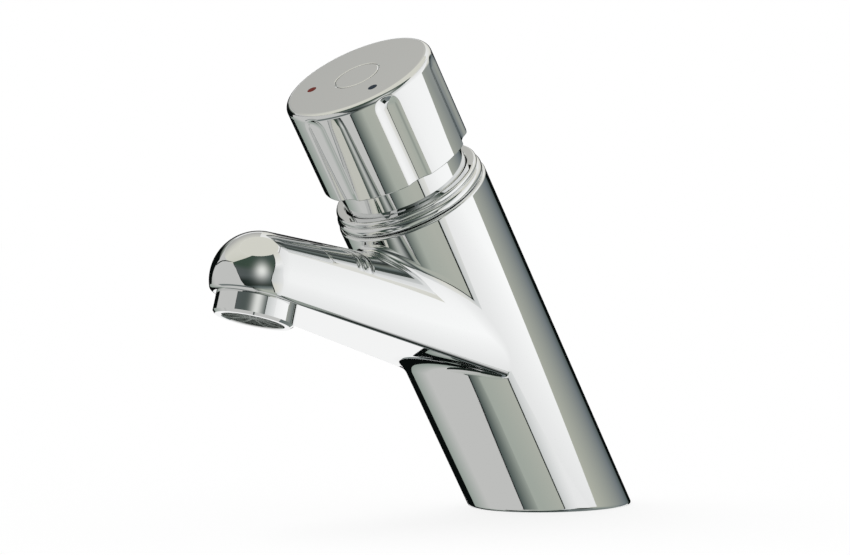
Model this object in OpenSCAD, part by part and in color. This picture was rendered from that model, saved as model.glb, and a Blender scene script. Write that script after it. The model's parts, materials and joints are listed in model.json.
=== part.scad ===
// Leaning basin tap with a push knob: pressing starts a timed flow, turning sets the temperature.
// Frame: +Z up, the basin top is z = 0, the body axis starts at the origin and the spout points to -Y.

/* [Body] */
// Radius of the leaning body post
body_r = 24; // [22.5:0.1:27]
// Lean of the body axis towards the spout, in degrees
lean = 33; // [28:0.5:37]
// Length of the body axis from the basin top to the shoulder
body_len = 117.3; // [112:0.1:126]
// Rounding of the shoulder's edge
shoulder_round = 0.8; // [0.4:0.1:1.5]
// Radius of the pocket that holds the cartridge
pocket_r = 18.2; // [17.8:0.1:19]
// Depth of the pocket below the shoulder
pocket_depth = 55.3; // [53:0.1:62]
// Wall of the body outside the collar's thread
thread_wall = 2.6; // [2.2:0.1:3.2]

/* [Spout] */
// Distance from the body axis at the basin top to the outlet centre
reach = 129.4; // [118:0.1:142]
// Drop of the outlet centre below the shoulder's front edge
outlet_drop = 23; // [19:0.1:30]
// Tilt of the outlet face and of the flat underside, in degrees
outlet_tilt = 16.2; // [13:0.1:19]
// Radius of the ball that ends the spout
nose_r = 14.35; // [13.8:0.05:15.2]
// Distance from the outlet axis to the ball's centre, towards the tip
nose_lead = 0.9; // [0:0.1:2]
// Depth of the flat underside below the ball's centre
nose_drop = 5.7; // [4.5:0.1:6.5]
// Rise of the spout's own axis towards the tip, in degrees
spout_tilt = 14.3; // [12:0.1:17]
// Step from the body's side to the spout's side where their axes meet
spout_inset = 0.9; // [0.4:0.1:3]
// Radius of the waterway along the spout
waterway_r = 4.5; // [3.5:0.1:5]
// Height of the waterway above the spout's own axis
waterway_lift = 2; // [1:0.1:3]

/* [Aerator] */
// Radius of the visible aerator housing
aerator_r = 11.9; // [11.5:0.1:12.4]
// Length of the housing below the spout's underside
aerator_drop = 6.15; // [5:0.05:8]
// Chamfer of the housing's lower edge
aerator_chamfer = 0.8; // [0.3:0.1:1.2]
// Step from the housing to its threaded neck
neck_step = 0.7; // [0.5:0.1:1]
// Length of the threaded neck
neck_len = 5; // [4:0.1:6]
// Thickness of the neck's wall
neck_wall = 1.2; // [0.8:0.1:1.4]
// Width and thickness of the lip that holds the insert
insert_lip = 0.8; // [0.5:0.1:1.2]
// Thickness of the ribbed insert
insert_t = 4; // [3:0.1:5]
// Ribs of the insert
insert_ribs = 12; // [8:1:16]
// Thickness of the insert's ribs
rib_t = 0.8; // [0.6:0.1:1]
// Thickness of the perforated screen
screen_t = 1.2; // [0.8:0.1:1.6]
// Radius of the screen's holes
screen_hole_r = 0.9; // [0.6:0.1:1]
// Radius of the insert's hub
insert_hub_r = 2.5; // [1.5:0.1:3.5]
// Distance between the rings of the screen's holes
screen_pitch = 3.7; // [3:0.1:4]
// Thickness of the aerator gasket
gasket_t = 1.5; // [1:0.1:2]
// Width of the aerator gasket
gasket_w = 2.2; // [1.6:0.1:3]

/* [Base] */
// Offset of each inlet to the side
port_x = 9; // [7.5:0.1:10]
// Place of the inlets along Y
port_y = -5; // [-7:0.1:-3]
// Radius of an inlet's threaded hole
port_r = 5; // [4.5:0.1:5.5]
// Depth of an inlet's threaded hole
port_depth = 14; // [10:0.5:16]
// Radius of the passage above each inlet
passage_r = 4; // [3.5:0.1:4.3]
// Height of the elbow where the passage turns along the body
elbow_z = 20; // [19.5:0.5:22]
// Radius of the channels from the elbows to the pocket
channel_r = 3; // [2.5:0.1:3.2]
// Thickness of an inlet strainer
strainer_t = 2; // [1.5:0.1:3]
// Radius of the ring of the strainers' holes
strainer_ring_r = 2.2; // [1.8:0.1:2.4]
// Radius of the strainers' holes
strainer_hole_r = 0.7; // [0.4:0.1:0.8]
// Place of the stud hole along Y
stud_y = 8.5; // [7:0.1:10]
// Radius of the stud's threaded hole
stud_r = 4; // [3:0.1:4.5]
// Depth of the stud's threaded hole
stud_depth = 14; // [10:0.5:16]
// Distance from the body's side to the middle of the base seal
seal_edge = 3; // [2.5:0.1:5]
// Width of the base seal
base_seal_w = 2.5; // [2:0.1:3]
// Thickness of the base seal
base_seal_t = 1.5; // [1:0.1:2.5]

/* [Cartridge] */
// Wall of the cartridge housing
housing_wall = 2.2; // [1.8:0.1:2.6]
// Thickness of each ceramic disc
disc_t = 4; // [3:0.1:4.5]
// Thickness of the port seals under the fixed disc
port_seal_t = 2; // [1.5:0.1:3]
// Width of the port seals
port_seal_w = 1.9; // [1.2:0.1:2.2]
// Distance of the housing's O-rings from its ends
seal_inset = 4; // [3:0.1:6]
// Section radius of the housing's O-rings
o_ring_r = 0.6; // [0.4:0.05:0.7]
// Outer radius of the valve cage and timing cylinder
cage_r = 12; // [11.5:0.1:12.3]
// Inner radius of the valve cage
cage_bore_r = 9; // [8.5:0.1:9.5]
// Thickness of the cage's flange
cage_flange_t = 3; // [2:0.1:4]
// Radius of the cage's lugs that turn the moving disc
lug_r = 1.5; // [1:0.1:1.8]
// Angle of each lug from the front, in degrees
lug_angle = 40; // [30:1:60]
// Width of the cage's outlet windows
window_w = 9; // [6:0.1:11]
// Radius of the valve seat's hole
valve_hole_r = 5; // [4.5:0.1:5.5]
// Thickness of the valve seat
valve_seat_t = 2.5; // [2:0.1:3]
// Radius of the valve head
valve_head_r = 7.5; // [7:0.1:8]
// Thickness of the valve head
valve_head_t = 3; // [2:0.1:3.5]
// Thickness of the valve washer
washer_t = 2; // [1.5:0.1:2.5]
// Radius of the timing cylinder's bore
timing_bore_r = 8.5; // [8:0.1:9.2]
// Thickness of the timing cylinder's floor
timing_floor_t = 3; // [2.6:0.1:3.5]
// Thickness of the piston
piston_t = 5; // [4:0.1:6]
// Radial play of the piston in its bore
piston_play = 0.2; // [0.1:0.05:0.3]
// Depth and half width of the piston's seal groove
piston_groove = 1; // [0.8:0.1:1.4]
// Radius of the timing jet
jet_r = 0.9; // [0.7:0.05:1]
// Gap between the sleeve's web and the drive cap
cap_gap = 3.5; // [2:0.1:5]
// Thickness of the drive cap
cap_t = 4; // [3:0.1:5]
// Radius of the stop pin
stop_pin_r = 1.25; // [1:0.05:1.5]
// Thickness of the web under the stop pin's slot
slot_floor = 1; // [0.8:0.1:1.5]

/* [Stem and spring] */
// Radius of the stem's round part
stem_r = 3; // [2.7:0.1:3.3]
// Corner radius of the stem's hexagonal part
stem_hex_r = 4; // [3.8:0.1:4.5]
// Section radius of the gland seal
gland_seal_r = 0.9; // [0.6:0.05:1]
// Middle radius of the return spring
spring_r = 9.5; // [8.9:0.1:11]
// Radius of the spring's wire
wire_r = 0.7; // [0.5:0.05:1]
// Turns of the spring
spring_turns = 8; // [5:1:10]

/* [Sleeve and collar] */
// Wall of the sleeve
sleeve_wall = 2; // [1.5:0.1:2.2]
// Thickness of the sleeve's foot flange
foot_t = 3; // [2:0.1:4]
// Thickness of the sleeve's bearing web
web_t = 4; // [3.5:0.1:6]
// Thickness of the slip ring
slip_t = 1; // [0.6:0.1:1.5]
// Length of the collar's threaded skirt
skirt_len = 7.3; // [6:0.1:9]
// Step from the body's side to the collar's lower bead
collar_inset = 0.4; // [0.2:0.1:1.4]
// Section radius of the collar's lower bead
bead_r = 1.6; // [1.2:0.1:1.8]
// Section radius of the collar's upper bead
lip_r = 0.95; // [0.7:0.05:1.1]
// Height of the collar above the shoulder
collar_h = 5; // [4.6:0.1:6]

/* [Knob] */
// Step from the body's side to the knob's side
knob_inset = 0.6; // [0:0.1:1.5]
// Wall of the knob's skirt
knob_wall = 3.2; // [2.8:0.1:3.6]
// Height of the knob
knob_h = 29.8; // [27:0.1:34]
// Rounding of the knob's upper edge
knob_rim = 2; // [1:0.1:3]
// Push travel of the knob
travel = 6.5; // [4:0.1:7.5]
// Turn to each side between mixed and full hot or cold, in degrees
turn = 60; // [40:1:70]
// Flutes round the knob
flute_count = 6; // [5:1:8]
// Radius of a flute's section
flute_r = 7.5; // [6:0.1:9]
// Depth of the flutes
flute_depth = 1.2; // [0.6:0.1:1.4]
// Distance of the flutes' rounded ends below the knob's top
flute_stop = 1; // [0.5:0.1:2]
// Radius of the disc in the knob's centre
badge_r = 7; // [6.5:0.1:8]
// Thickness of that disc
badge_t = 1.5; // [1:0.1:2]
// Radius of the hot and cold dots
dot_r = 1.45; // [1:0.05:2]
// Thickness of the dots
dot_t = 0.8; // [0.5:0.1:1.2]
// Radius of the circle that the dots lie on
dot_ring_r = 14.8; // [11:0.1:17]
// Radius of the knob's inner boss
boss_r = 7; // [6.5:0.1:7.5]
// Length of the knob's inner boss
boss_len = 6.5; // [5:0.1:9]
// Radius of the knob screw's shank
screw_r = 2; // [1.5:0.1:2.2]
// Length of the screw in the stem
screw_grip = 10; // [6:0.5:12]
// Radius of the knob screw's head
screw_head_r = 3.5; // [3.2:0.1:3.8]
// Height of the knob screw's head
screw_head_t = 2.6; // [2:0.1:2.8]
// Thickness of the knob under the screw's head
screw_floor_t = 2; // [1.5:0.1:2.2]

/* [Fits] */
// Radial play of running and seated fits
running = 0.05; // [0.02:0.01:0.1]
// Film between lapped faces
film = 0.02; // [0.01:0.01:0.05]
// Play of loose fits
loose = 0.1; // [0.05:0.01:0.2]
// Gap between pieces that pass each other
clear = 0.5; // [0.35:0.05:0.6]
// Room left at the end of a stroke
end_room = 1.5; // [1:0.1:2]

/* [Hidden] */
$fn = 64;
over = 1;

// Radii and walls that the fits give
knob_r = body_r - knob_inset;
knob_bore_r = knob_r - knob_wall;
knob_top_t = screw_floor_t + screw_head_t + badge_t + clear;
sleeve_r = knob_bore_r - clear;
sleeve_bore_r = sleeve_r - sleeve_wall;
collar_r = body_r - collar_inset;
collar_thread_r = body_r - thread_wall;
collar_bore_r = sleeve_r + clear / 2;
base_seal_r = body_r - seal_edge;
housing_bore_r = pocket_r - running - housing_wall;
disc_r = housing_bore_r - loose - clear / 2;
bearing_r = cage_r + running;
stop_ring_r = (bearing_r + sleeve_bore_r) / 2;
cap_r = sleeve_bore_r - clear;
piston_r = timing_bore_r - piston_play;
neck_r = aerator_r - neck_step;
aerator_bore_r = neck_r - neck_wall;

// Levels along the body axis
seat_h = body_len - pocket_depth;
moving_h = seat_h + disc_t + film;
cage_h = moving_h + disc_t;
sleeve_h = body_len - skirt_len - slip_t - foot_t;
slip_h = sleeve_h + foot_t;
cap_h = sleeve_h + web_t + cap_gap;
cap_top_h = cap_h + cap_t;
stop_pin_h = sleeve_h + slot_floor + clear;
timing_floor_h = cap_h - piston_t - travel - 2 * end_room;
timing_h = timing_floor_h - timing_floor_t;
valve_seat_h = cage_h + washer_t + valve_head_t + travel + end_room;
outlet_room_h = valve_seat_h + valve_seat_t;
washer_h = valve_seat_h - film - washer_t;
valve_head_h = washer_h - valve_head_t;
piston_h = cap_h - clear - piston_t;
piston_top_h = piston_h + piston_t;
collar_top_h = body_len + collar_h;
knob_bottom_h = collar_top_h + travel + end_room;
knob_top_h = knob_bottom_h + knob_h;
ceiling_h = knob_top_h - knob_top_t;
sleeve_top_h = ceiling_h - travel - end_room;
screw_seat_h = ceiling_h + screw_floor_t;
badge_h = knob_top_h - badge_t;

// The ball at the spout's tip, and the run from there to the body axis
outlet_h = body_len * cos(lean) - body_r * sin(lean) - outlet_drop;
nose_up = aerator_drop + nose_drop;
nose_y = -reach - nose_lead * cos(outlet_tilt) + nose_up * sin(outlet_tilt);
nose_z = outlet_h + nose_lead * sin(outlet_tilt) + nose_up * cos(outlet_tilt);
spout_len = (-nose_y - tan(lean) * nose_z) / (cos(spout_tilt) - tan(lean) * sin(spout_tilt));
spout_end_r = body_r - spout_inset;
spout_flare = acos(nose_r / norm([spout_end_r, spout_len])) - atan2(spout_len, spout_end_r);
waterway_len = spout_len - pocket_r / 2 / cos(lean + spout_tilt);

// The elbows of the inlets, in the body axis' own frame
channel_y = port_y * cos(lean) + elbow_z * sin(lean);
channel_h = -port_y * sin(lean) + elbow_z * cos(lean);
port_ring_r = norm([port_x, channel_y]);
port_angle = atan(port_x / channel_y);

// Angles of the stops and dots, the cut foot and the flutes
stop_play = asin((stop_pin_r + loose) / stop_ring_r);
dot_angle = turn;
base_reach = body_r * tan(lean) + over;
flute_reach = sqrt(flute_r * flute_r - pow(flute_r - flute_depth, 2));
flute_end = knob_h - flute_stop - flute_reach;

module on_axis(h = 0) {
    rotate([lean, 0, 0])
        translate([0, 0, h])
            children();
}

module at_outlet(up = 0) {
    translate([0, -reach, outlet_h])
        rotate([-outlet_tilt, 0, 0])
            translate([0, 0, up])
                children();
}

// Origin in the nose ball, +Z towards the body, -Y upwards
module along_spout() {
    translate([0, nose_y, nose_z])
        rotate([-90 - spout_tilt, 0, 0])
            children();
}

module tube(r_out, r_in, h) {
    difference() {
        cylinder(r = r_out, h = h);
        translate([0, 0, -over])
            cylinder(r = r_in, h = h + 2 * over);
    }
}

// Post with a rounded upper edge
module rounded_post(r, h, edge, foot = 0) {
    rotate_extrude()
        union() {
            translate([0, -foot])
                square([r, h + foot - edge]);
            translate([0, -foot])
                square([r - edge, h + foot]);
            translate([r - edge, h - edge])
                circle(r = edge);
        }
}

// Ring of round section
module o_ring(middle_r, section_r) {
    rotate_extrude()
        translate([middle_r, 0])
            circle(r = section_r);
}

module at_ports() {
    for (side = [-1, 1])
        translate([side * port_x, 0, 0])
            children();
}

// A ball running into a cone, cut flat below.
// The quarter turn puts the round's seam on the side that is cut off.
module spout_form() {
    difference() {
        along_spout()
            rotate([0, 0, 90])
                rotate_extrude()
                    union() {
                        intersection() {
                            circle(r = nose_r);
                            translate([0, -nose_r])
                                square([nose_r, 2 * nose_r]);
                        }
                        polygon([
                            [0, -nose_r * sin(spout_flare)],
                            [nose_r * cos(spout_flare), -nose_r * sin(spout_flare)],
                            [spout_end_r, spout_len],
                            [0, spout_len]
                        ]);
                    }
        at_outlet(aerator_drop - 2 * body_r)
            translate([-2 * body_r, -2 * nose_r, 0])
                cube([4 * body_r, reach + 2 * nose_r, 2 * body_r]);
    }
}

module waterway() {
    along_spout()
        translate([0, -waterway_lift, 0])
            cylinder(r = waterway_r, h = waterway_len);
}

module inlet_cuts() {
    at_ports()
        translate([0, port_y, -over]) {
            cylinder(r = port_r, h = port_depth + over);
            cylinder(r = passage_r, h = elbow_z + passage_r / 2 + over);
        }
    on_axis()
        at_ports()
            translate([0, channel_y, 0]) {
                translate([0, 0, channel_h])
                    cylinder(r = channel_r, h = seat_h - channel_h + over);
                translate([0, 0, seat_h - port_seal_t])
                    cylinder(r = channel_r + port_seal_w + loose, h = port_seal_t + over);
            }
}

module body() {
    color("lightgray")
        difference() {
            union() {
                on_axis()
                    rounded_post(body_r, body_len, shoulder_round, base_reach);
                spout_form();
            }
            translate([-2 * body_r, -2 * body_r, -2 * base_reach])
                cube([4 * body_r, 4 * body_r, 2 * base_reach]);
            on_axis(seat_h)
                cylinder(r = pocket_r, h = pocket_depth + over);
            on_axis(sleeve_h)
                cylinder(r = collar_thread_r, h = body_len - sleeve_h + over);
            waterway();
            at_outlet(aerator_drop - over)
                cylinder(r = neck_r + running, h = neck_len + gasket_t + over);
            at_outlet(aerator_drop)
                cylinder(r = neck_r - gasket_w, h = nose_drop + waterway_lift + waterway_r);
            inlet_cuts();
            translate([0, stud_y, -over])
                cylinder(r = stud_r, h = stud_depth + over);
            translate([0, 0, -over])
                cylinder(r = base_seal_r + base_seal_w / 2, h = base_seal_t + over);
        }
}

// Ring at the edge of the hollow under the foot
module base_seal() {
    color("dimgray")
        tube(base_seal_r + base_seal_w / 2 - running, base_seal_r - base_seal_w / 2, base_seal_t);
}

// Perforated plugs in the passages above the inlets' threads
module inlet_strainers() {
    color("gainsboro")
        at_ports()
            translate([0, port_y, port_depth + end_room])
                difference() {
                    cylinder(r = passage_r - running, h = strainer_t);
                    for (i = [0 : 6])
                        rotate([0, 0, 60 * i])
                            translate([i < 6 ? strainer_ring_r : 0, 0, -over])
                                cylinder(r = strainer_hole_r, h = strainer_t + 2 * over);
                }
}

module port_seals() {
    color("black")
        on_axis(seat_h - port_seal_t)
            at_ports()
                translate([0, channel_y, 0])
                    tube(channel_r + port_seal_w, channel_r, port_seal_t);
}

module fixed_disc() {
    color("white")
        on_axis(seat_h)
            difference() {
                cylinder(r = disc_r, h = disc_t);
                at_ports()
                    translate([0, channel_y, -over])
                        cylinder(r = channel_r, h = disc_t + 2 * over);
            }
}

module at_drive_lugs() {
    for (side = [-1, 1])
        rotate([0, 0, side * lug_angle])
            translate([0, -port_ring_r, 0])
                children();
}

// The arc joins both inlets in the middle position and leads to the centre
module moving_disc() {
    color("ivory")
        on_axis(moving_h)
            difference() {
                cylinder(r = disc_r, h = disc_t);
                translate([0, 0, -over])
                    cylinder(r = valve_hole_r, h = disc_t + 2 * over);
                rotate([0, 0, 90 - port_angle])
                    translate([0, 0, -over])
                        rotate_extrude(angle = 2 * port_angle)
                            translate([port_ring_r - channel_r, 0])
                                square([2 * channel_r, disc_t + 2 * over]);
                translate([-channel_r, 0, -over])
                    cube([2 * channel_r, port_ring_r, disc_t + 2 * over]);
                at_drive_lugs()
                    translate([0, 0, disc_t / 2])
                        cylinder(r = lug_r + loose, h = disc_t);
            }
}

module cartridge_housing() {
    color("slategray")
        difference() {
            on_axis(seat_h)
                tube(pocket_r - running, housing_bore_r, sleeve_h - seat_h);
            waterway();
            for (h = [seat_h + seal_inset, sleeve_h - seal_inset])
                on_axis(h - o_ring_r - running)
                    tube(pocket_r + over, pocket_r - 2 * o_ring_r - 2 * running, 2 * o_ring_r + 2 * running);
        }
}

module housing_seals() {
    color("black")
        for (h = [seat_h + seal_inset, sleeve_h - seal_inset])
            on_axis(h)
                o_ring(pocket_r - o_ring_r - running, o_ring_r);
}

// Chamber for the valve head, the seat above it and an outlet room with windows
module valve_cage() {
    window_h = timing_h - outlet_room_h - end_room;
    color("darkkhaki")
        on_axis(cage_h)
            difference() {
                union() {
                    cylinder(r = cage_r, h = timing_h - cage_h);
                    cylinder(r = disc_r - loose, h = cage_flange_t);
                    at_drive_lugs()
                        translate([0, 0, -disc_t / 2 + loose])
                            cylinder(r = lug_r, h = disc_t / 2);
                }
                translate([0, 0, -over])
                    cylinder(r = cage_bore_r, h = valve_seat_h - cage_h + over);
                cylinder(r = valve_hole_r, h = timing_h - cage_h);
                translate([0, 0, outlet_room_h - cage_h])
                    cylinder(r = cage_bore_r, h = timing_h - outlet_room_h + over);
                translate([0, 0, outlet_room_h - cage_h])
                    for (a = [0, 90])
                        rotate([0, 0, a])
                            translate([-window_w / 2, -cage_r - over, 0])
                                cube([window_w, 2 * cage_r + 2 * over, window_h]);
            }
}

module timing_cylinder() {
    groove_r = stem_r + running + 2 * gland_seal_r + running;
    groove_h = 2 * gland_seal_r + 2 * running;
    color("tan")
        on_axis(timing_h)
            difference() {
                cylinder(r = cage_r, h = cap_h - timing_h);
                translate([0, 0, timing_floor_t])
                    cylinder(r = timing_bore_r, h = cap_h - timing_h);
                translate([0, 0, -over])
                    cylinder(r = stem_r + running, h = timing_floor_t + 2 * over);
                translate([0, 0, timing_floor_t / 2 - groove_h / 2])
                    cylinder(r = groove_r, h = groove_h);
            }
}

module gland_seal() {
    color("black")
        on_axis(timing_h + timing_floor_t / 2)
            o_ring(stem_r + running + gland_seal_r, gland_seal_r);
}

// Closes the timing cylinder; its hexagonal hole turns with the stem
module drive_cap() {
    color("goldenrod")
        on_axis(cap_h)
            difference() {
                cylinder(r = cap_r, h = cap_t);
                translate([0, 0, -over])
                    cylinder(r = stem_hex_r + loose, h = cap_t + 2 * over, $fn = 6);
                translate([0, stop_ring_r, -over])
                    cylinder(r = stop_pin_r + running, h = cap_t / 2 + over);
            }
}

module stop_pin() {
    color("silver")
        on_axis(stop_pin_h)
            translate([0, stop_ring_r, 0])
                cylinder(r = stop_pin_r, h = cap_h + cap_t / 2 - stop_pin_h);
}

// Visible sleeve with its foot flange, and a bearing web with the stop pin's arc slot
module guide_sleeve() {
    slot_angle = 2 * (turn + stop_play);
    slot_w = 2 * (stop_pin_r + clear / 2);
    color("lightgray")
        on_axis(sleeve_h)
            difference() {
                rotate_extrude()
                    polygon([
                        [bearing_r, 0],
                        [collar_thread_r - loose, 0],
                        [collar_thread_r - loose, foot_t],
                        [sleeve_r, foot_t],
                        [sleeve_r, sleeve_top_h - sleeve_h],
                        [sleeve_bore_r, sleeve_top_h - sleeve_h],
                        [sleeve_bore_r, web_t],
                        [bearing_r, web_t]
                    ]);
                rotate([0, 0, 90 - slot_angle / 2])
                    translate([0, 0, slot_floor])
                        rotate_extrude(angle = slot_angle)
                            translate([stop_ring_r - slot_w / 2, 0])
                                square([slot_w, web_t]);
            }
}

module slip_ring() {
    color("whitesmoke")
        on_axis(slip_h)
            tube(collar_thread_r - loose, sleeve_r + loose, slip_t);
}

// Threaded ring that holds the sleeve down, with two rounded beads above the shoulder
module collar() {
    bead_mid_r = collar_r - bead_r;
    color("lightgray")
        on_axis(body_len)
            rotate_extrude()
                union() {
                    translate([collar_bore_r, -skirt_len])
                        square([collar_thread_r - loose - collar_bore_r, skirt_len + over]);
                    translate([collar_bore_r, 0])
                        square([bead_mid_r - collar_bore_r, collar_h]);
                    translate([bead_mid_r, bead_r])
                        circle(r = bead_r);
                    translate([bead_mid_r, collar_h - lip_r])
                        circle(r = lip_r);
                }
}

// Cutter for one flute: a rod with a ball end
module flute() {
    translate([0, -knob_r - flute_r + flute_depth, 0])
        rotate_extrude()
            union() {
                translate([0, -over])
                    square([flute_r, flute_end + over]);
                intersection() {
                    translate([0, flute_end])
                        circle(r = flute_r);
                    square([flute_r, flute_end + flute_r]);
                }
            }
}

module at_dot(side) {
    rotate([0, 0, side * dot_angle])
        translate([0, -dot_ring_r, 0])
            children();
}

module knob() {
    color("silver")
        on_axis(knob_bottom_h)
            difference() {
                rounded_post(knob_r, knob_h, knob_rim);
                translate([0, 0, -over])
                    tube(knob_bore_r, boss_r, knob_h - knob_top_t + over);
                translate([0, 0, -over])
                    cylinder(r = boss_r + over, h = knob_h - knob_top_t - boss_len + over);
                cylinder(r = stem_hex_r + running, h = knob_h - knob_top_t, $fn = 6);
                cylinder(r = screw_r + loose, h = knob_h);
                translate([0, 0, screw_seat_h - knob_bottom_h])
                    cylinder(r = screw_head_r + clear, h = knob_h);
                translate([0, 0, knob_h - badge_t])
                    cylinder(r = badge_r + loose, h = badge_t + over);
                for (side = [-1, 1])
                    at_dot(side)
                        translate([0, 0, knob_h - dot_t])
                            cylinder(r = dot_r + running, h = dot_t + over);
                for (i = [0 : flute_count - 1])
                    rotate([0, 0, i * 360 / flute_count])
                        flute();
            }
}

module knob_badge() {
    color("lightgray")
        on_axis(badge_h)
            cylinder(r = badge_r, h = badge_t);
}

module dot(side) {
    on_axis(knob_top_h - dot_t)
        at_dot(side)
            cylinder(r = dot_r, h = dot_t);
}

module hot_dot() {
    color("firebrick")
        dot(-1);
}

module cold_dot() {
    color("midnightblue")
        dot(1);
}

module knob_screw() {
    color("silver")
        on_axis(screw_seat_h)
            difference() {
                union() {
                    cylinder(r = screw_head_r, h = screw_head_t);
                    translate([0, 0, -screw_floor_t - screw_grip])
                        cylinder(r = screw_r, h = screw_floor_t + screw_grip + over);
                }
                translate([0, 0, screw_head_t / 2])
                    cylinder(r = screw_head_r / 2, h = screw_head_t, $fn = 6);
            }
}

// Round rod to the valve, hexagonal from the piston up to the knob
module stem() {
    color("darkgoldenrod")
        difference() {
            union() {
                on_axis(valve_head_h)
                    cylinder(r = stem_r, h = piston_top_h - valve_head_h + over);
                on_axis(piston_top_h)
                    cylinder(r = stem_hex_r, h = ceiling_h - piston_top_h, $fn = 6);
            }
            on_axis(ceiling_h - screw_grip - over)
                cylinder(r = screw_r + running, h = screw_grip + 2 * over);
        }
}

module valve_head() {
    color("gold")
        on_axis(valve_head_h)
            tube(valve_head_r, stem_r + running, valve_head_t);
}

module valve_washer() {
    color("black")
        on_axis(washer_h)
            tube(valve_head_r - loose, stem_r + running, washer_t);
}

module at_jet() {
    rotate([0, 0, 90])
        translate([(stem_r + piston_r - piston_groove) / 2, 0, 0])
            children();
}

module piston() {
    color("gold")
        on_axis(piston_h)
            difference() {
                tube(piston_r, stem_r + running, piston_t);
                translate([0, 0, piston_t / 2 - piston_groove])
                    tube(piston_r + over, piston_r - piston_groove, 2 * piston_groove);
                at_jet()
                    translate([0, 0, -over])
                        cylinder(r = jet_r + running, h = piston_t + 2 * over);
            }
}

module piston_seal() {
    half_t = piston_groove - running;
    color("black")
        on_axis(piston_h + piston_t / 2 - half_t)
            tube(timing_bore_r - running, piston_r - piston_groove + running, 2 * half_t);
}

// Drilled plug whose fine hole sets the closing time
module timing_jet() {
    color("indianred")
        on_axis(piston_h)
            at_jet()
                tube(jet_r, jet_r / 3, piston_t);
}

// Helix of wire from the drive cap to the knob's ceiling
module return_spring() {
    rings = 8 * spring_turns;
    sides = 6;
    rise = ceiling_h - cap_top_h - 2 * wire_r - 2 * loose;
    points = [
        for (i = [0 : rings], j = [0 : sides - 1])
            let (
                turn_angle = 360 * spring_turns * i / rings,
                side_angle = 360 * j / sides,
                r = spring_r + wire_r * cos(side_angle)
            )
            [r * cos(turn_angle), r * sin(turn_angle), rise * i / rings + wire_r * sin(side_angle)]
    ];
    wall = [
        for (i = [0 : rings - 1], j = [0 : sides - 1])
            let (
                a = i * sides + j,
                b = i * sides + (j + 1) % sides
            )
            each [[a, a + sides, b], [b, a + sides, b + sides]]
    ];
    last = rings * sides;
    ends = [
        for (j = [1 : sides - 2])
            each [[0, j, j + 1], [last, last + j + 1, last + j]]
    ];
    color("silver")
        on_axis(cap_top_h + wire_r + loose)
            polyhedron(points, concat(wall, ends));
}

module aerator_housing() {
    color("lightgray")
        at_outlet()
            rotate_extrude()
                polygon([
                    [aerator_bore_r - insert_lip, 0],
                    [aerator_r - aerator_chamfer, 0],
                    [aerator_r, aerator_chamfer],
                    [aerator_r, aerator_drop],
                    [neck_r, aerator_drop],
                    [neck_r, aerator_drop + neck_len],
                    [aerator_bore_r, aerator_drop + neck_len],
                    [aerator_bore_r, insert_lip],
                    [aerator_bore_r - insert_lip, insert_lip]
                ]);
}

// Rim, hub and straight ribs that calm the jet
module aerator_insert() {
    insert_r = aerator_bore_r - running;
    color("darkslategray")
        at_outlet(insert_lip)
            union() {
                tube(insert_r, insert_r - insert_lip, insert_t);
                cylinder(r = insert_hub_r, h = insert_t);
                for (i = [0 : insert_ribs - 1])
                    rotate([0, 0, i * 360 / insert_ribs])
                        translate([0, -rib_t / 2, 0])
                            cube([insert_r - insert_lip / 2, rib_t, insert_t]);
            }
}

module aerator_screen() {
    color("gray")
        at_outlet(insert_lip + insert_t)
            difference() {
                cylinder(r = aerator_bore_r - running, h = screen_t);
                for (ring = [1, 2])
                    for (i = [0 : 6 * ring - 1])
                        rotate([0, 0, i * 60 / ring])
                            translate([ring * screen_pitch, 0, -over])
                                cylinder(r = screen_hole_r, h = screen_t + 2 * over);
            }
}

module aerator_gasket() {
    color("black")
        at_outlet(aerator_drop + neck_len)
            tube(neck_r, neck_r - gasket_w, gasket_t);
}

body();
base_seal();
inlet_strainers();
port_seals();
fixed_disc();
moving_disc();
cartridge_housing();
housing_seals();
valve_cage();
timing_cylinder();
gland_seal();
drive_cap();
stop_pin();
guide_sleeve();
slip_ring();
collar();
knob();
knob_badge();
hot_dot();
cold_dot();
knob_screw();
stem();
valve_head();
valve_washer();
piston();
piston_seal();
timing_jet();
return_spring();
aerator_housing();
aerator_insert();
aerator_screen();
aerator_gasket();
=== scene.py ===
"""The looks of a leaning push tap: polished chrome shells, a fluted knob, an aerator and a white studio."""
import json
from math import acos, asin, atan2, cos, degrees, hypot, pi, radians, sin, sqrt, tan

import bmesh
import bpy
import numpy as np
from mathutils import Matrix, Vector


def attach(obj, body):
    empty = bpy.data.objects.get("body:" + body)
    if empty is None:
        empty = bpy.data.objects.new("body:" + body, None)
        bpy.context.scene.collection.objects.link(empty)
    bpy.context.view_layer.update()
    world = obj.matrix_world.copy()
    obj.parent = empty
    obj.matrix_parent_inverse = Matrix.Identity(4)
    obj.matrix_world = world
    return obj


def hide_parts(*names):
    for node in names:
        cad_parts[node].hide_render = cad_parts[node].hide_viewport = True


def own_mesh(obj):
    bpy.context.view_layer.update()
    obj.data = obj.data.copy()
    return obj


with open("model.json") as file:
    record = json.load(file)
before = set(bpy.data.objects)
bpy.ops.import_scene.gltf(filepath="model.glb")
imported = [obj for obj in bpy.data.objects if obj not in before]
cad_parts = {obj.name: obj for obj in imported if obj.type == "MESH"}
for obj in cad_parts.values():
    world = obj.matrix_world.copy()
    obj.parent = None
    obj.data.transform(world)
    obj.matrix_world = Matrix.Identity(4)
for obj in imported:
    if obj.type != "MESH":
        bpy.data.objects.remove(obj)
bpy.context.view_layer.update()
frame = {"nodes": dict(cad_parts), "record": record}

MM = 0.001

# Sizes of the solids, in millimetres and radians
POST_R = 24.0
LEAN = radians(33.0)
POST_LEN = 117.3
SHOULDER_ROUND = 0.8
POCKET_R = 18.2
POCKET_DEPTH = 55.3
THREAD_R = 21.4
THREAD_GAP = 0.1
SLEEVE_LEVEL = 106.0

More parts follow.
